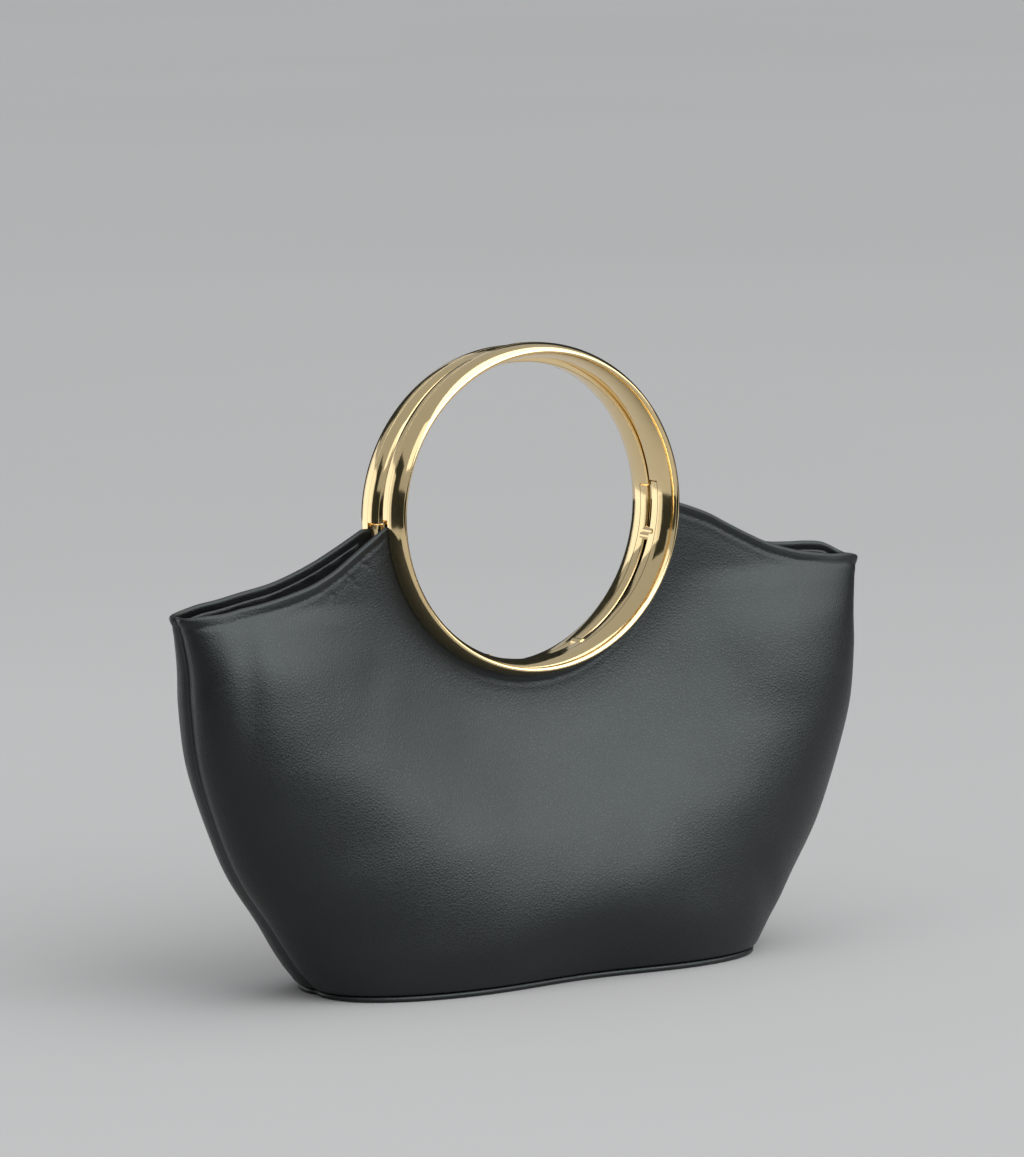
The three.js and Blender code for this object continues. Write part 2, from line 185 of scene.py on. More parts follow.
# Fine creases below the top edge, in millimetres: x and drop below the edge at the start, the same at
# the end, depth and half width.
CREASES = {
    "front": [
        (-87.5, 3.0, -83.0, 13.5, 0.34, 0.42),
        (-89.5, 4.5, -86.5, 9.0, 0.16, 0.4),
        (-79.5, 3.5, -73.5, 13.5, 0.34, 0.42),
        (-82.0, 3.5, -78.5, 8.5, 0.18, 0.4),
        (-74.0, 3.0, -67.5, 11.0, 0.34, 0.42),
        (-70.5, 2.5, -66.5, 7.0, 0.16, 0.4),
        (94.0, 3.0, 92.5, 12.5, 0.16, 0.8),
        (99.5, 3.0, 98.5, 14.0, 0.14, 0.9),
        (112.5, 3.0, 110.5, 17.0, 0.14, 1.0),
        (116.0, 3.0, 115.0, 13.0, 0.1, 0.9),
    ],
    "back": [
        (84.0, 3.0, 80.0, 12.0, 0.28, 0.45),
        (76.0, 3.0, 72.0, 11.0, 0.26, 0.45),
        (-96.0, 3.0, -94.5, 13.0, 0.16, 0.8),
    ],
}

# Broad soft folds: x, z, angle of the fold line from +X in degrees, depth, half width, half length.
FOLDS = {
    "front": [
        (-125.0, 120.0, 88.0, 1.1, 5.0, 34.0),
        (-98.0, 18.0, 62.0, 0.9, 7.0, 22.0),
        (88.0, 22.0, 118.0, 0.8, 7.0, 22.0),
        (-70.0, 118.0, 62.0, 0.45, 8.0, 20.0),
        (72.0, 122.0, 112.0, 0.4, 9.0, 22.0),
        (20.0, 96.0, 20.0, 0.3, 12.0, 30.0),
    ],
    "back": [
        (-118.0, 112.0, 92.0, 0.7, 6.0, 30.0),
        (95.0, 20.0, 118.0, 0.8, 7.0, 22.0),
        (-84.0, 22.0, 62.0, 0.8, 7.0, 22.0),
        (40.0, 100.0, 110.0, 0.4, 9.0, 24.0),
    ],
}

# Long gentle waves of the leather: length in millimetres, angle in degrees, height, phase.
WAVES = [
    (64.0, 24.0, 0.16, 0.3),
    (47.0, 118.0, 0.13, 1.9),
    (35.0, 66.0, 0.08, 4.1),
    (26.0, 155.0, 0.05, 2.6),
    (19.0, 95.0, 0.03, 5.2),
]


# The turned top edge of the leather, in millimetres: height, drop below the edge, half width.
TURNED_EDGE = [
    (0.28, 0.0, 2.4),
    (-0.3, 3.9, 1.1),
    (-0.1, 7.5, 2.5),
]
INNER_EDGE_HEIGHT, INNER_EDGE_HALF = 0.2, 2.4

# Crowded columns of the leather where its creases are: from, to and step, as shares across.
CREASED = {"front": (-0.64, -0.44, 0.0031), "back": (-0.7, -0.45, 0.006)}


class Panel:
    def __init__(self, name, facing, ring_height):
        self.name = name
        self.facing = facing
        self.ring_height = ring_height


FRONT = Panel("front", -1.0, RING_HEIGHT)
BACK = Panel("back", 1.0, RING_HEIGHT - BACK_RING_DROP)


def smooth(table, column, at):
    """Smooth value of a table's column where its first column has the value at."""
    key = table[:, 0]
    value = table[:, column]
    at = np.clip(at, key[0], key[-1])
    i = np.clip(np.searchsorted(key, at, side="left") - 1, 0, len(key) - 2)
    low = np.maximum(np.arange(len(key)) - 1, 0)
    high = np.minimum(np.arange(len(key)) + 1, len(key) - 1)
    slope = (value[high] - value[low]) / (key[high] - key[low])
    span = key[i + 1] - key[i]
    t = (at - key[i]) / span
    rise = value[i + 1] - value[i]
    near = slope[i] * span - rise
    far = rise - slope[i + 1] * span
    return value[i] + rise * t + t * (1 - t) * (near * (1 - t) + far * t)


def section(column, z):
    return smooth(SECTIONS, column, z / CORNER_HEIGHT)


def half_width(z):
    return CORNER_HALF_WIDTH * section(WIDTH, z)


def denting(panel, x, z):
    """Depth of the soft dents."""
    total = np.zeros(np.broadcast(x, z).shape)
    for across, up, depth, reach_across, reach_up in DENTS[panel.name]:
        dx = (x - across * CORNER_HALF_WIDTH) / (reach_across * FULL_HALF_DEPTH)
        dz = (z - up * CORNER_HEIGHT) / (reach_up * FULL_HALF_DEPTH)
        total = total + depth * FULL_HALF_DEPTH * np.exp(-dx * dx - dz * dz)
    return total


def folding(panel, x, z, loose):
    """Depth of the broad folds and waves, where the leather is free of its ring."""
    total = np.zeros(np.broadcast(x, z).shape)
    for fx, fz, angle, depth, half, length in FOLDS[panel.name]:
        c, s = math.cos(math.radians(angle)), math.sin(math.radians(angle))
        along = (x - fx) * c + (z - fz) * s
        off = -(x - fx) * s + (z - fz) * c
        total = total + depth * np.exp(-((off / half) ** 2) - (along / length) ** 2)
    for length, angle, height, phase in WAVES:
        c, s = math.cos(math.radians(angle)), math.sin(math.radians(angle))
        turn = 2 * math.pi * (x * c + z * s) / length + phase * (2 + panel.facing)
        bend = 0.9 * np.sin(x / 31.0 + phase) + 0.7 * np.sin(z / 23.0 - phase)
        total = total + height * np.sin(turn + bend)
    return total * loose


def body_point(panel, share, z):
    """A point in the middle of a panel's leather, from its share across and its height."""
    side = np.minimum(np.abs(share), 1.0)
    x = np.sign(share) * side * half_width(z)
    power = section(SQUARENESS, z)
    plan = (1 - side ** power) ** (1 / power)
    held = RING_PLANE_OFFSET + (panel.ring_height - z) * math.tan(LEAN)
    away = np.maximum(np.hypot(x, z - panel.ring_height) - RING_OUTER_RADIUS, 0)
    free = 1 - np.exp(-((away / SWELL_REACH) ** 2))
    full = FULL_HALF_DEPTH * section(FULLNESS, z) * plan
    depth = held + (full - held) * free - denting(panel, x, z) * plan * free
    loose = (1 - np.exp(-((away / LOOSE_REACH) ** 2))) * (1 - np.exp(-((depth / LOOSE_DEPTH) ** 2)))
    depth = depth - folding(panel, x, z, loose) * np.clip(z / FOLD_FADE, 0, 1)
    sink = SEAM_SINK * np.exp(-((depth / SEAM_REACH) ** 2))
    return np.stack([x - np.sign(x) * sink, panel.facing * (SEAM_GAP / 2 + depth), z + 0 * x], -1)


def body_normal(panel, share, z):
    """The unit direction out of the bag at that point."""
    step = 0.004
    left = body_point(panel, np.maximum(share - step, -1), z)
    right = body_point(panel, np.minimum(share + step, 1), z)
    low = body_point(panel, share, z - 0.5)
    high = body_point(panel, share, z + 0.5)
    normal = np.cross(right - left, high - low) * -panel.facing
    normal[..., 1] = np.where(np.abs(share) > 0.9999, 0, normal[..., 1])
    normal[..., 2] = np.where(z < WALL_FOOT + 0.01, 0, normal[..., 2])
    return normal / np.linalg.norm(normal, axis=-1, keepdims=True)


def top_edge(panel, x):
    """The height of a panel's top edge beside its ring."""
    left, right = (1, 2) if panel is FRONT else (3, 4)
    across = np.abs(x) / CORNER_HALF_WIDTH
    drop = np.where(x < 0, smooth(TOP_EDGE, left, across), smooth(TOP_EDGE, right, across))
    return RING_HEIGHT - drop * RING_HEIGHT


def panel_top(panel, share):
    """The height where a panel ends: the round cut-out or the top edge."""
    z = np.full(np.shape(share), panel.ring_height - RING_OUTER_RADIUS)
    tip = panel.ring_height - TIP_DROP
    for _ in range(12):
        x = share * half_width(z)
        arc = panel.ring_height - np.sqrt(np.maximum(CUTOUT_RADIUS ** 2 - x * x, 0))
        in_cutout = np.abs(x) < CUTOUT_RADIUS
        z = np.where(in_cutout, np.minimum(arc, tip), np.minimum(top_edge(panel, x), tip))
    return z


def creasing(panel, x, drop):
    """Depth of the fine creases at x and a drop below the top edge."""
    total = np.zeros(np.broadcast(x, drop).shape)
    for x1, d1, x2, d2, depth, half in CREASES[panel.name]:
        length = math.hypot(x2 - x1, d2 - d1)
        ux, ud = (x2 - x1) / length, (d2 - d1) / length
        along = (x - x1) * ux + (drop - d1) * ud
        wander = 0.35 * np.sin(along * 1.1 + x1) + 0.2 * np.sin(along * 2.7 + x2)
        off = -(x - x1) * ud + (drop - d1) * ux + wander
        t = np.clip(along / length, 0, 1)
        fade = np.sin(np.pi * np.clip((along + 0.6) / (length + 1.2), 0, 1)) ** 0.7
        near = np.exp(-((off / half) ** 2))
        lip = 0.12 * np.exp(-(((np.abs(off) - 2.2 * half) / (1.3 * half)) ** 2))
        total = total + depth * fade * (near - lip) * (1 - 0.35 * t)
    return total


def share_columns(panel, spacing, crowded=None):
    """Shares across the panel, about spacing apart along the leather, closer at the ring and seams,
    and on the left from one share to another by a step of its own where that is given."""
    fine = np.linspace(0, 1, 4001)
    points = body_point(panel, fine, np.full(fine.shape, 0.72 * CORNER_HEIGHT))
    run = np.concatenate([[0], np.cumsum(np.linalg.norm(np.diff(points, axis=0), axis=1))])
    half = list(np.arange(spacing, run[-1] - SEAM_COLUMNS[0], spacing))
    half += list(run[-1] - np.array(SEAM_COLUMNS))
    shares = list(np.interp(half, run, fine))
    tip = CUTOUT_RADIUS / CORNER_HALF_WIDTH
    shares = [s for s in shares if abs(s - tip) > TIP_CLEAR]
    shares += [tip + away for away in TIP_COLUMNS]
    left = [-s for s in shares]
    if crowded:
        low, high, step = crowded
        left = [s for s in left if not low <= s <= high]
        left += list(np.arange(low, high, step))
    return np.array(sorted(set(np.round(left + [0.0] + shares, 6))))


def make_object(name, vertices, faces):
    """A smooth-shaded piece from points in millimetres, with its faces turned outwards."""
    mesh = bpy.data.meshes.new(name)
    mesh.from_pydata([tuple(v) for v in (np.asarray(vertices) * MM).tolist()], [], faces)
    mesh.update()
    bm = bmesh.new()
    bm.from_mesh(mesh)
    bmesh.ops.recalc_face_normals(bm, faces=bm.faces)
    bm.to_mesh(mesh)
    bm.free()
    for polygon in mesh.polygons:
        polygon.use_smooth = True
    piece = bpy.data.objects.new(name, mesh)
    bpy.context.scene.collection.objects.link(piece)
    return piece


def loft(name, rings):
    """A closed solid from loops of points: rings[i][j] is point j of loop i."""
    rings = np.asarray(rings)
    n, m = rings.shape[:2]
    faces = []
    for i in range(n - 1):
        for j in range(m):
            k = (j + 1) % m
            faces.append((i * m + j, i * m + k, (i + 1) * m + k, (i + 1) * m + j))
    faces.append(tuple(range(m))[::-1])
    faces.append(tuple((n - 1) * m + j for j in range(m)))
    return make_object(name, rings.reshape(-1, 3), faces)


def sheet_drops(drops, height):
    """Drops below the top edge: as given near it, and scaled to the sheet's height further down."""
    drops = drops[None, :]
    scaled = NEAR_EDGE + (drops - NEAR_EDGE) * (height - NEAR_EDGE) / (SHEET_DEPTH - NEAR_EDGE)
    return np.where(drops < NEAR_EDGE, drops, scaled)


def sheet_face(panel, share, z):
    """Points in the middle of the leather and their directions out of the bag."""
    share = share + 0 * z
    return body_point(panel, share, z), body_normal(panel, share, z)


def rim_arc(point, normal, first, last, centre_z, rise, steps):
    """A half round over a sheet's top edge, from the offset first to the offset last."""
    middle = (first + last) / 2
    reach = (first - last) / 2
    arc = []
    for i in range(1, steps):
        angle = math.pi * i / steps
        here = point + normal * (middle + reach * math.cos(angle))
        here[..., 2] = centre_z + rise * math.sin(angle)
        arc.append(here)
    return np.concatenate(arc, axis=1)


def ring_distance(panel, point):
    """Distance from the ring's axis."""
    return np.hypot(point[..., 0], point[..., 2] - panel.ring_height)


def step_between(a, b, x):
    """A smooth step from 0 at a to 1 at b."""
    t = np.clip((x - a) / (b - a), 0, 1)
    return t * t * (3 - 2 * t)


def clear_of_ring(panel, point):
    """0 where the ring holds the leather, 1 where it is free."""
    away = ring_distance(panel, point) - RING_OUTER_RADIUS
    return step_between(EDGE_FREE_FROM, EDGE_FREE_TO, away)


def outside_offset(panel, point, z, drop):
    """How far the leather's outside lies from its middle, with a turned edge and a tucked foot."""
    free = clear_of_ring(panel, point)
    lip = sum(height * np.exp(-(((drop - at) / half) ** 2)) for height, at, half in TURNED_EDGE)
    foot = np.clip(z - WALL_FOOT, 0, FOOT_TURN) / FOOT_TURN
    pull = FOOT_TUCK * (1 - np.sqrt(np.clip(1 - (1 - foot) ** 2, 0, 1)))
    away = ring_distance(panel, point) - RING_OUTER_RADIUS
    press = RING_PRESS * np.exp(-(((away - 1.0) / 1.6) ** 2)) * free
    return LEATHER / 2 + lip * free - pull - press - creasing(panel, point[..., 0], drop)


def inside_offset(panel, point, drop):
    lip = INNER_EDGE_HEIGHT * np.exp(-((drop / INNER_EDGE_HALF) ** 2))
    return -LEATHER / 2 - lip * clear_of_ring(panel, point)


def make_panel(panel):
    """One leather panel: each loop goes up the outside, over the rim and down the inside."""
    outer_drops = np.concatenate([
        np.arange(RIM_HALF, 4.6, 0.34),
        np.arange(5.0, NEAR_EDGE, 0.55),
        np.arange(16.6, 142.0, 1.25),
        SHEET_DEPTH - np.array([2.0, 1.2, 0.6, 0.25, 0.0]),
    ])
    inner_drops = np.concatenate([
        np.arange(RIM_HALF, 6, 0.8),
        np.arange(7, NEAR_EDGE, 2.0),
        np.arange(17, 146, 3.0),
        [SHEET_DEPTH],
    ])
    columns = share_columns(panel, 1.3, CREASED[panel.name])
    if panel is BACK:
        columns = -columns[::-1]
    share = columns[:, None]
    top = panel_top(panel, columns)[:, None]

    drop = sheet_drops(outer_drops, top - WALL_FOOT)
    point, normal = sheet_face(panel, share, top - drop)
    outer = point + normal * outside_offset(panel, point, top - drop, drop)[..., None]

    drop = sheet_drops(inner_drops, top - WALL_FOOT)
    point, normal = sheet_face(panel, share, top - drop)
    inner = point + normal * inside_offset(panel, point, drop)[..., None]

    point, normal = sheet_face(panel, share, top - RIM_HALF)
    first = np.sum((outer[:, :1] - point) * normal, -1, keepdims=True)
    last = np.sum((inner[:, :1] - point) * normal, -1, keepdims=True)
    rim = rim_arc(point, normal, first, last, top - RIM_HALF, RIM_HALF, RIM_STEPS)
    return loft(f"leather_{panel.name}", np.concatenate([outer[:, ::-1], rim, inner], axis=1))


def make_facing(panel, side):
    """A band of thin glossy leather inside the mouth, lightly crumpled."""
    shares = share_columns(panel, 1.2)
    keep = (shares * side > FACING_INNER_SHARE) & (shares * side < FACING_OUTER_SHARE)
    columns = shares[keep]
    share = columns[:, None]
    top = (panel_top(panel, columns) - FACING_DROP)[:, None]
    near = LEATHER / 2 + FACING_GAP
    far = near + FACING
    drops = np.concatenate([np.arange(FACING_RIM, FACING_DEPTH, 0.6), [FACING_DEPTH]])
    z = top - drops[None, :]
    point, normal = sheet_face(panel, share, z)
    x = point[..., 0]
    crumple = 0.16 * np.sin(x / 2.3 + 1.7 * np.sin(z / 3.1)) * np.sin(z / 2.6 + 1.1 * np.sin(x / 4.7))
    crumple = crumple + 0.1 * np.sin(x / 1.3 + z / 3.3)
    outside = point - normal * near
    inside = point - normal * (far + crumple * np.clip(drops / 2, 0, 1))[..., None]
    point, normal = sheet_face(panel, share, top - FACING_RIM)
    rim = rim_arc(point, normal, -near, -far, top - FACING_RIM, FACING_RIM, FACING_RIM_STEPS)
    word = "left" if side < 0 else "right"
    loops = np.concatenate([outside[:, ::-1], rim, inside], axis=1)
    return loft(f"facing_{panel.name}_{word}", loops)


def make_base():
    """The base: a flat plate with a softly rounded edge, in the outline of the panels' feet."""
    outline = []
    for panel, order in ((FRONT, 1), (BACK, -1)):
        columns = share_columns(panel, 1.6)[::order]
        z = np.full(columns.shape, WALL_FOOT)
        outline.append(body_point(panel, columns, z) + body_normal(panel, columns, z) * LEATHER / 2)
    outline = np.concatenate(outline)[:, :2]
    keep = np.concatenate([[True], np.linalg.norm(np.diff(outline, axis=0), axis=1) > 0.12])
    outline = outline[keep]
    tangent = np.roll(outline, -1, axis=0) - np.roll(outline, 1, axis=0)
    tangent = tangent / np.linalg.norm(tangent, axis=1, keepdims=True)
    inward = np.stack([-tangent[:, 1], tangent[:, 0]], -1)
    centre = outline.mean(axis=0)
    if np.sum(inward * (centre - outline)) < 0:
        inward = -inward
    loops = []
    for inset, z in BASE_EDGE:
        ring = outline + inward * inset
        loops.append(np.concatenate([ring, np.full((len(ring), 1), z)], axis=1))
    return loft("leather_base", loops)


def arc_loops(profile, from_deg, to_deg, steps):
    """Loops of a profile of radius and depth round the ring's axis, as seen from the front."""
    angles = np.radians(np.linspace(from_deg, to_deg, steps + 1))
    profile = np.asarray(profile)
    radius = profile[None, :, 0]
    return np.stack([
        radius * np.cos(angles)[:, None],
        profile[None, :, 1] + 0 * angles[:, None],
        radius * np.sin(angles)[:, None],
    ], -1)


def rounded(corners, radii, steps=4):
    """A closed profile with its corners rounded to the given radii."""
    points = []
    count = len(corners)
    for i, (corner, radius) in enumerate(zip(corners, radii)):
        corner = np.array(corner, float)
        if radius == 0:
            points.append(corner)
            continue
        before = np.array(corners[i - 1], float) - corner
        after = np.array(corners[(i + 1) % count], float) - corner
        before = before / np.linalg.norm(before)
        after = after / np.linalg.norm(after)
        half = 0.5 * math.acos(np.clip(np.dot(before, after), -1, 1))
        reach = radius / math.tan(half)
        middle = corner + (before + after) / np.linalg.norm(before + after) * radius / math.sin(half)
        start = corner + before * reach - middle
        end = corner + after * reach - middle
        a = math.atan2(start[1], start[0])
        b = math.atan2(end[1], end[0])
        turn = (b - a + math.pi) % (2 * math.pi) - math.pi
        for k in range(steps + 1):
            angle = a + turn * k / steps
            points.append(middle + radius * np.array([math.cos(angle), math.sin(angle)]))
    return np.array(points)


def flowing(points, steps):
    """A smooth line through points, with steps pieces between one point and the next."""
    points = np.asarray(points, float)
    count = len(points)
    before = np.array([points[max(i - 1, 0)] for i in range(count)])
    after = np.array([points[min(i + 1, count - 1)] for i in range(count)])
    reach = np.linalg.norm(np.diff(points, axis=0), axis=1)
    line = [points[0]]
    for i in range(count - 1):
        near = (after[i] - before[i]) / np.linalg.norm(after[i] - before[i]) * reach[i]
        far = (after[i + 1] - before[i + 1]) / np.linalg.norm(after[i + 1] - before[i + 1]) * reach[i]
        for k in range(1, steps + 1):
            s = k / steps
            line.append(
                points[i] * (2 * s ** 3 - 3 * s ** 2 + 1) + near * (s ** 3 - 2 * s ** 2 + s)
                + points[i + 1] * (3 * s ** 2 - 2 * s ** 3) + far * (s ** 3 - s ** 2)
            )
    return [tuple(point) for point in line]


def outline_points(table, depth):
    """A table's points as radius and depth."""
    return [(RING_BORE_RADIUS + across * RING_RADIAL, deep * depth) for across, deep in table]


def shell_profile():
    """The ring's outward half: its nose, the side of the leather's slot and the joint."""
    slot = -SLOT_WIDTH / 2
    nose = outline_points(NOSE, -OUTWARD_DEPTH) + [(RING_OUTER_RADIUS, slot - GROOVE)]
    return np.array(flowing(nose, 6) + [
        (RING_OUTER_RADIUS - GROOVE, slot),
        (BITE_RADIUS, slot),
        (BITE_RADIUS, -JOINT_GAP / 2),
        (RING_BORE_RADIUS, -JOINT_GAP / 2),
    ])


def inward_profile(foot, step, top, groove=GROOVE):
    """The ring's inward half, or its clamp: from the joint over the shoulder to the bore."""
    shoulder = [(RING_OUTER_RADIUS, step + groove)] + outline_points(SHOULDER, top)
    bore_corner = [(RING_OUTER_RADIUS, top), (RING_BORE_RADIUS, top), (RING_BORE_RADIUS, foot)]
    corner = rounded(bore_corner, [0, CORNER_ROUND, 0])
    return np.array([
        (RING_BORE_RADIUS, foot),
        (BITE_RADIUS, foot),
        (BITE_RADIUS, step),
        (RING_OUTER_RADIUS - groove, step),
        *flowing(shoulder, 5),
        *corner[1:-1],
    ])


def ring_place(panel):
    """Where a ring's own axes lie in the bag: turned in its plane, leaning and facing outwards."""
    side = Matrix.Rotation(math.pi if panel is BACK else 0, 4, "Z")
    hung = Matrix.Translation((0, -RING_PLANE_OFFSET * MM, panel.ring_height * MM))
    leaning = Matrix.Rotation(-LEAN, 4, "X")
    turned = Matrix.Rotation(math.radians(RING_TURN_DEG) * panel.facing, 4, "Y")
    return side @ hung @ leaning @ turned


def placed(piece, panel):
    """A piece moved from its ring's own axes to its place in the bag."""
    piece.data.transform(ring_place(panel))
    piece.data.update()
    return piece


def joined(name, parts):
    """One object from several meshes."""
    bm = bmesh.new()
    for part in parts:
        bm.from_mesh(part.data)
        bpy.data.objects.remove(part)
    mesh = bpy.data.meshes.new(name)
    bm.to_mesh(mesh)
    bm.free()
    piece = bpy.data.objects.new(name, mesh)
    bpy.context.scene.collection.objects.link(piece)
    return piece


def smooth_by_angle(piece, degrees):
    """Smooth faces with creases kept where faces meet at more than the given angle."""
    mesh = piece.data
    bm = bmesh.new()
    bm.from_mesh(mesh)
    for face in bm.faces:
        face.smooth = True
    for edge in bm.edges:
        edge.smooth = len(edge.link_faces) == 2 and edge.calc_face_angle(0) < math.radians(degrees)
    bm.to_mesh(mesh)
    bm.free()


def closed_revolve(name, profile, steps):
    """A closed profile turned all the way round the ring's axis."""
    loops = arc_loops(profile, 0, 360, steps)[:-1]
    n, m = loops.shape[:2]
    faces = []
    for i in range(n):
        for j in range(m):
            a, b = (i + 1) % n, (j + 1) % m
            faces.append((i * m + j, i * m + b, a * m + b, a * m + j))
    return make_object(name, loops.reshape(-1, 3), faces)


def make_ring(panel):
    """The ring: a whole outward half, and an inward half over the upper arc."""
    shell = closed_revolve("shell", shell_profile(), 288)
    block = inward_profile(-JOINT_GAP / 2, -SLOT_WIDTH / 2, INWARD_DEPTH, BLOCK_GROOVE)
    upper = loft("upper", arc_loops(block, CLAMP_RISE_DEG, 180 - CLAMP_RISE_DEG, 144))
    ring = placed(joined(f"ring_{panel.name}", [shell, upper]), panel)
    smooth_by_angle(ring, RING_CREASE_DEG)
    return ring


def make_clamp(panel):
    """The ring's clamp: an arc with a pocket for each screw."""
    profile = inward_profile(JOINT_GAP / 2, SLOT_WIDTH / 2, INWARD_DEPTH - CLAMP_SET_BACK)
    start = 180 - CLAMP_RISE_DEG + CLAMP_END_GAP_DEG
    end = 360 + CLAMP_RISE_DEG - CLAMP_END_GAP_DEG
    clamp = loft(f"clamp_{panel.name}", arc_loops(profile, start, end, 150))
    seat = JOINT_GAP / 2 + SCREW_FLOOR
    past = INWARD_DEPTH + POCKET_OVERRUN
    pocket_radius = SCREW_HEAD_RADIUS + SCREW_CLEARANCE
    pocket = [(0, seat), (pocket_radius, seat), (pocket_radius, past), (0, past)]
    cutter = joined("cutters", [screw_lathe("cutter", angle, pocket, 28) for angle in SCREW_ANGLES_DEG])
    cut = clamp.modifiers.new("pockets", "BOOLEAN")
    cut.operation = "DIFFERENCE"
    cut.solver = "EXACT"
    cut.object = cutter
    bpy.context.view_layer.update()
    evaluated = clamp.evaluated_get(bpy.context.evaluated_depsgraph_get())
    mesh = bpy.data.meshes.new_from_object(evaluated)
    clamp.modifiers.clear()
    clamp.data = mesh
    bpy.data.objects.remove(cutter)
    placed(clamp, panel)
    smooth_by_angle(clamp, RING_CREASE_DEG)
    return clamp


def screw_lathe(name, angle_deg, profile, sides):
    """A round body turned from a profile of radius and depth, on the screw circle."""
    angle = math.radians(angle_deg)
    cx, cz = SCREW_CIRCLE_RADIUS * math.cos(angle), SCREW_CIRCLE_RADIUS * math.sin(angle)
    vertices = []
    faces = []
    rows = []
    for radius, depth in profile:
        if radius == 0:
            rows.append([len(vertices)] * sides)
            vertices.append((cx, depth, cz))
        else:
            rows.append(list(range(len(vertices), len(vertices) + sides)))
            for k in range(sides):
                turn = 2 * math.pi * k / sides
                vertices.append((cx + radius * math.cos(turn), depth, cz + radius * math.sin(turn)))
    for a, b in zip(rows[:-1], rows[1:]):
        for k in range(sides):
            j = (k + 1) % sides
            face = []
            for v in (a[k], a[j], b[j], b[k]):
                if v not in face:
                    face.append(v)
            if len(face) > 2:
                faces.append(tuple(face))
    return make_object(name, vertices, faces)


def make_screw(panel, index):
    """A screw in its pocket: a short shank, a head with soft edges and a round recess."""
    seat = JOINT_GAP / 2 + SCREW_FLOOR + SCREW_CLEARANCE
    top = seat + SCREW_HEAD_HEIGHT
    r = SCREW_HEAD_RADIUS
    shank = [(0, seat - 0.9), (0.8, seat - 0.9), (0.8, seat)]
    head = [(r - 0.15, seat), (r, seat + 0.15), (r, top - 0.3), (r - 0.1, top - 0.1), (r - 0.35, top)]
    recess = [(0.72, top), (0.64, top - 0.08), (0.62, top - 0.6), (0, top - 0.75)]
    profile = shank + head + recess
    screw = screw_lathe(f"screw_{panel.name}_{index + 1}", SCREW_ANGLES_DEG[index], profile, 30)
    placed(screw, panel)
    smooth_by_angle(screw, SCREW_CREASE_DEG)
    return screw


# Materials
def new_material(name):
    material = bpy.data.materials.new(name)
    material.use_nodes = True
    tree = material.node_tree
    tree.nodes.clear()
    output = tree.nodes.new("ShaderNodeOutputMaterial")
    shader = tree.nodes.new("ShaderNodeBsdfPrincipled")
    tree.links.new(shader.outputs["BSDF"], output.inputs["Surface"])
    return material, tree, shader


def node(tree, kind, inputs=(), **settings):
    made = tree.nodes.new(kind)
    for key, value in settings.items():
        setattr(made, key, value)
    for key, value in dict(inputs).items():
        if hasattr(value, "is_output"):
            tree.links.new(value, made.inputs[key])
        else:
            made.inputs[key].default_value = value
    return made


def math_node(tree, operation, a, b=0.0):
    return node(tree, "ShaderNodeMath", {0: a, 1: b}, operation=operation).outputs[0]


def scaled(tree, value, factor):
    return math_node(tree, "MULTIPLY", value, factor)


def mapped(tree, value, low, high, to_low, to_high):
    span = {"Value": value, "From Min": low, "From Max": high, "To Min": to_low, "To Max": to_high}
    return node(tree, "ShaderNodeMapRange", span).outputs["Result"]


def color_mix(tree, factor, first, second):
    inputs = {"Factor": factor, "A": first, "B": second}
    return node(tree, "ShaderNodeMix", inputs, data_type="RGBA").outputs["Result"]


def noise(tree, place, scale, detail):
    return node(tree, "ShaderNodeTexNoise", {"Vector": place, "Scale": scale, "Detail": detail})


def vector_node(tree, operation, inputs):
    return node(tree, "ShaderNodeVectorMath", inputs, operation=operation).outputs[0]


def pebbles(tree, place, scale, flat_from):
    """Rounded cells: 0 in the creases between them and 1 on top."""
    inputs = {"Vector": place, "Scale": scale}
    cells = node(tree, "ShaderNodeTexVoronoi", inputs, feature="DISTANCE_TO_EDGE")
    return mapped(tree, cells.outputs["Distance"], 0.0, flat_from, 0.0, 1.0)


def bumped(tree, shader, height, strength, distance):
    inputs = {"Height": height, "Strength": strength, "Distance": distance}
    relief = node(tree, "ShaderNodeBump", inputs)
    tree.links.new(relief.outputs["Normal"], shader.inputs["Normal"])


def grain_group():
    """Pebbled leather grain: a height, a mask of the pores and a slow mottling."""
    group = bpy.data.node_groups.new("leather_grain", "ShaderNodeTree")
    group.interface.new_socket(name="Scale", in_out="INPUT", socket_type="NodeSocketFloat")
    for name in ("Height", "Pores", "Mottle"):
        group.interface.new_socket(name=name, in_out="OUTPUT", socket_type="NodeSocketFloat")
    start = group.nodes.new("NodeGroupInput")
    end = group.nodes.new("NodeGroupOutput")
    place = group.nodes.new("ShaderNodeTexCoord").outputs["Object"]
    bend = noise(group, place, 420.0, 2.0).outputs["Color"]
    off = vector_node(group, "SUBTRACT", {0: bend, 1: (0.5, 0.5, 0.5)})
    off = vector_node(group, "SCALE", {0: off, "Scale": 0.0011})
    bent = vector_node(group, "ADD", {0: place, 1: off})
    pebble = pebbles(group, bent, start.outputs["Scale"], 0.32)
    fine = pebbles(group, bent, scaled(group, start.outputs["Scale"], 2.3), 0.3)
    dust = noise(group, place, 5200.0, 3.0).outputs["Fac"]
    height = math_node(group, "ADD", scaled(group, pebble, 0.62), scaled(group, fine, 0.26))
    height = math_node(group, "ADD", height, scaled(group, dust, 0.16))
    slow = noise(group, place, 26.0, 3.0).outputs["Fac"]
    group.links.new(height, end.inputs["Height"])
    group.links.new(math_node(group, "SUBTRACT", 1.0, pebble), end.inputs["Pores"])
    group.links.new(slow, end.inputs["Mottle"])
    return group


GRAIN = grain_group()


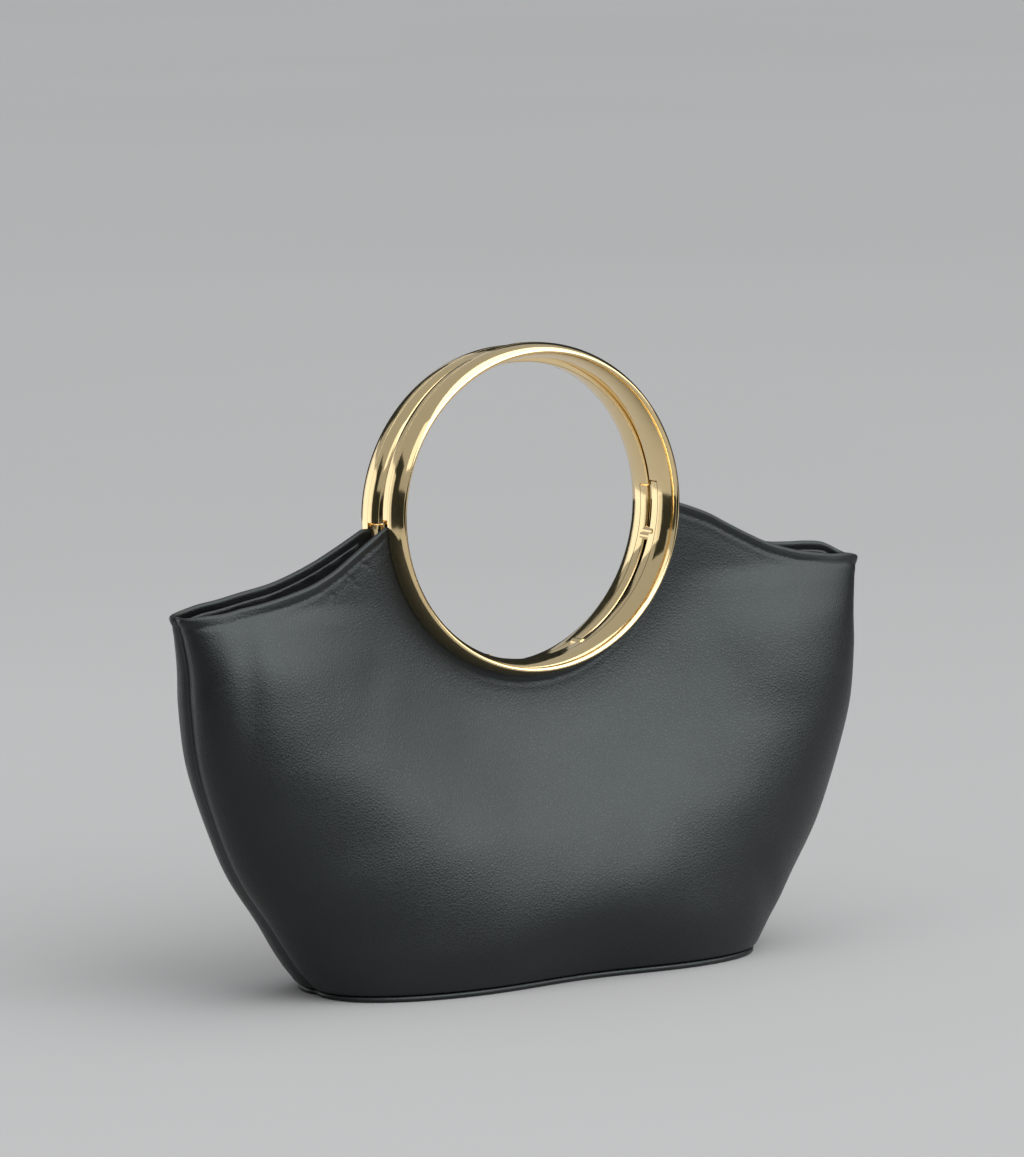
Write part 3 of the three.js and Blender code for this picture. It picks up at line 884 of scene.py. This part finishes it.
def leather_material(name, dark, light, rough, scale, bump):
    """Smooth black leather with a fine grain, a soft mottling and darker pores."""
    material, tree, shader = new_material(name)
    grain = node(tree, "ShaderNodeGroup", node_tree=GRAIN)
    grain.inputs["Scale"].default_value = scale
    mottle, pores = grain.outputs["Mottle"], grain.outputs["Pores"]
    tone = color_mix(tree, mapped(tree, mottle, 0.3, 0.7, 0.0, 1.0), dark, light)
    shade = color_mix(tree, scaled(tree, pores, 0.35), tone, PORE_COLOR)
    tree.links.new(shade, shader.inputs["Base Color"])
    worn = mapped(tree, mottle, 0.25, 0.75, rough - 0.03, rough + 0.05)
    roughness = math_node(tree, "ADD", worn, scaled(tree, pores, 0.12))
    tree.links.new(roughness, shader.inputs["Roughness"])
    bumped(tree, shader, grain.outputs["Height"], bump, 0.00022)
    shader.inputs["IOR"].default_value = 1.5
    shader.inputs["Specular IOR Level"].default_value = 0.44
    shader.inputs["Specular Tint"].default_value = (0.9, 1.0, 1.0, 1)
    return material


def gold_material(name, color, rough):
    """Polished gold-coloured metal, very slightly worn."""
    material, tree, shader = new_material(name)
    place = tree.nodes.new("ShaderNodeTexCoord").outputs["Object"]
    wear = noise(tree, place, 240.0, 4.0).outputs["Fac"]
    marks = noise(tree, place, 2600.0, 2.0).outputs["Fac"]
    roughness = mapped(tree, wear, 0.3, 0.7, rough - 0.025, rough + 0.05)
    tree.links.new(roughness, shader.inputs["Roughness"])
    deep = tuple(c * 0.93 for c in color)
    tree.links.new(color_mix(tree, wear, (*color, 1), (*deep, 1)), shader.inputs["Base Color"])
    height = math_node(tree, "ADD", scaled(tree, wear, 0.8), scaled(tree, marks, 0.2))
    bumped(tree, shader, height, 0.06, 0.0003)
    shader.inputs["Metallic"].default_value = 1.0
    return material


PORE_COLOR = (0.003, 0.0032, 0.0036, 1)
LEATHER_DARK, LEATHER_LIGHT = (0.0026, 0.003, 0.0036, 1), (0.004, 0.0046, 0.0055, 1)
FACING_DARK, FACING_LIGHT = (0.005, 0.0055, 0.0062, 1), (0.009, 0.0098, 0.011, 1)
LEATHER_SKIN = leather_material("leather", LEATHER_DARK, LEATHER_LIGHT, 0.31, 800.0, 0.34)
FACING_SKIN = leather_material("facing_leather", FACING_DARK, FACING_LIGHT, 0.3, 950.0, 0.4)
GOLD = gold_material("gold", (0.95, 0.74, 0.405), 0.075)
SCREW_METAL = gold_material("screw_metal", (0.72, 0.47, 0.2), 0.2)


def finished(piece, material, slot, *nodes):
    """A piece in its material, in place of its solids."""
    piece.data.materials.clear()
    piece.data.materials.append(material)
    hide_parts(*nodes)
    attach(piece, "root")
    return piece


for panel in (FRONT, BACK):
    name = panel.name
    finished(make_panel(panel), LEATHER_SKIN, "leather", f"{name}_panel")
    finished(make_facing(panel, -1), FACING_SKIN, "facing_leather", f"{name}_left_facing")
    finished(make_facing(panel, 1), FACING_SKIN, "facing_leather", f"{name}_right_facing")
    finished(make_ring(panel), GOLD, "gold", f"{name}_ring")
    finished(make_clamp(panel), GOLD, "gold", f"{name}_clamp")
    for i in range(4):
        finished(make_screw(panel, i), SCREW_METAL, "screw_metal", f"{name}_screw_{i + 1}")
finished(make_base(), LEATHER_SKIN, "leather", "base_panel")


# Stage: a wide pale floor, dark cards that only the reflections see, and soft lights
FLOOR_REACH = 30.0
FLOOR_LEVEL = -0.00005
FLOOR_COLOR = (0.3, 0.3, 0.302)
CARD_COLOR = (0.02, 0.022, 0.02)
LIGHTS_AIM = Vector((0, 0, 0.1))

# Dark cards that stand on the floor: azimuth, distance, half width, height. Azimuth 0 is in front of
# the bag and 90 to its right.
CARDS = {
    "front_card": (-8, 1.1, 1.15, 0.27),
    "left_card": (-92, 1.05, 0.6, 0.37),
    "left_rear_card": (-126, 1.05, 0.28, 0.62),
    "rear_card": (176, 1.5, 0.4, 0.9),
    "right_card": (98, 1.2, 0.75, 0.47),
    "right_rear_card": (132, 1.15, 0.5, 0.8),
}

# Soft lights: azimuth, elevation, distance, width, height, power.
SOFTBOXES = {
    "key": (20, 36, 3.4, 3.7, 3.8, 84),
    "left_light": (-76, 38, 2.0, 1.3, 1.0, 3.6),
    "rear_light": (-155, 6, 0.95, 0.7, 0.4, 0.7),
}

# The dome is a very large soft light, even over the whole floor.
DOME_AZIMUTH, DOME_ELEVATION, DOME_SPREAD, DOME_STRENGTH = 28, 57, 112, 3.5
WORLD_COLOR, WORLD_STRENGTH = (0.98, 1.0, 1.02, 1), 0.42


def direction(azimuth, elevation):
    """The unit direction from the bag towards an azimuth and an elevation."""
    a, e = math.radians(azimuth), math.radians(elevation)
    return Vector((math.sin(a) * math.cos(e), -math.cos(a) * math.cos(e), math.sin(e)))


def stage_plane(name, corners, color, rough):
    mesh = bpy.data.meshes.new(name)
    mesh.from_pydata(corners, [], [(0, 1, 2, 3)])
    plane = bpy.data.objects.new(name, mesh)
    bpy.context.scene.collection.objects.link(plane)
    material, tree, shader = new_material(name)
    place = tree.nodes.new("ShaderNodeTexCoord").outputs["Object"]
    haze = noise(tree, place, 1.2, 2.0).outputs["Fac"]
    lighter = tuple(c * 1.06 for c in color)
    tree.links.new(color_mix(tree, haze, (*color, 1), (*lighter, 1)), shader.inputs["Base Color"])
    shader.inputs["Roughness"].default_value = rough
    shader.inputs["Specular IOR Level"].default_value = 0.1
    plane.data.materials.append(material)
    return plane


def dark_card(name, azimuth, distance, half_width, height):
    centre = direction(azimuth, 0) * distance
    across = Vector((-centre.y, centre.x, 0)).normalized() * half_width
    left, right = centre - across, centre + across
    corners = [(*left.xy, 0), (*right.xy, 0), (*right.xy, height), (*left.xy, height)]
    card = stage_plane(name, corners, CARD_COLOR, 1.0)
    card.visible_camera = False
    card.visible_diffuse = False
    card.visible_shadow = False


def add_light(name, kind, away, energy):
    """A light that shines from a direction towards the bag."""
    light = bpy.data.objects.new(name, bpy.data.lights.new(name, kind))
    light.data.energy = energy
    light.rotation_euler = (-away).to_track_quat("-Z", "Y").to_euler()
    bpy.context.scene.collection.objects.link(light)
    return light


def softbox(name, azimuth, elevation, distance, width, height, power):
    away = direction(azimuth, elevation)
    light = add_light(name, "AREA", away, power)
    light.data.shape = "RECTANGLE"
    light.data.size = width
    light.data.size_y = height
    light.location = LIGHTS_AIM + away * distance
    light.visible_camera = False


corners = ((-1, -1), (1, -1), (1, 1), (-1, 1))
floor_corners = [(x * FLOOR_REACH, y * FLOOR_REACH, FLOOR_LEVEL) for x, y in corners]
stage_plane("floor", floor_corners, FLOOR_COLOR, 0.9)
for name, sizes in CARDS.items():
    dark_card(name, *sizes)
dome = add_light("dome", "SUN", direction(DOME_AZIMUTH, DOME_ELEVATION), DOME_STRENGTH)
dome.data.angle = math.radians(DOME_SPREAD)
for name, sizes in SOFTBOXES.items():
    softbox(name, *sizes)

world = bpy.data.worlds.new("studio")
bpy.context.scene.world = world
world.use_nodes = True
world_tree = world.node_tree
world_tree.nodes.clear()
world_out = world_tree.nodes.new("ShaderNodeOutputWorld")
sky = world_tree.nodes.new("ShaderNodeBackground")
sky.inputs["Color"].default_value = WORLD_COLOR
sky.inputs["Strength"].default_value = WORLD_STRENGTH
world_tree.links.new(sky.outputs[0], world_out.inputs["Surface"])
bpy.context.scene.view_settings.view_transform = "Standard"

# Camera, fitted to the outlines of the rings and the body
YAW, PITCH, ROLL = math.radians(31.38), math.radians(7.31), math.radians(-0.88)
CAMERA_PLACE = (-1.325, -2.165, 0.4705)
SENSOR_WIDTH = 36.0
FOCAL_RATIO = 7000 / 1157
forward = Vector((math.sin(YAW) * math.cos(PITCH), math.cos(YAW) * math.cos(PITCH), -math.sin(PITCH)))
right = Vector((math.cos(YAW), -math.sin(YAW), 0))
up = right.cross(forward)
c, s = math.cos(ROLL), math.sin(ROLL)
right, up = right * c + up * s, up * c - right * s
camera_data = bpy.data.cameras.new("camera")
camera = bpy.data.objects.new("camera", camera_data)
axes = Matrix((right, up, -forward)).transposed()
camera.matrix_world = Matrix.Translation(CAMERA_PLACE) @ axes.to_4x4()
camera_data.sensor_width = SENSOR_WIDTH
camera_data.lens = SENSOR_WIDTH * FOCAL_RATIO
camera_data.clip_start = 0.05
camera_data.clip_end = 50.0
bpy.context.scene.collection.objects.link(camera)
bpy.context.scene.camera = camera
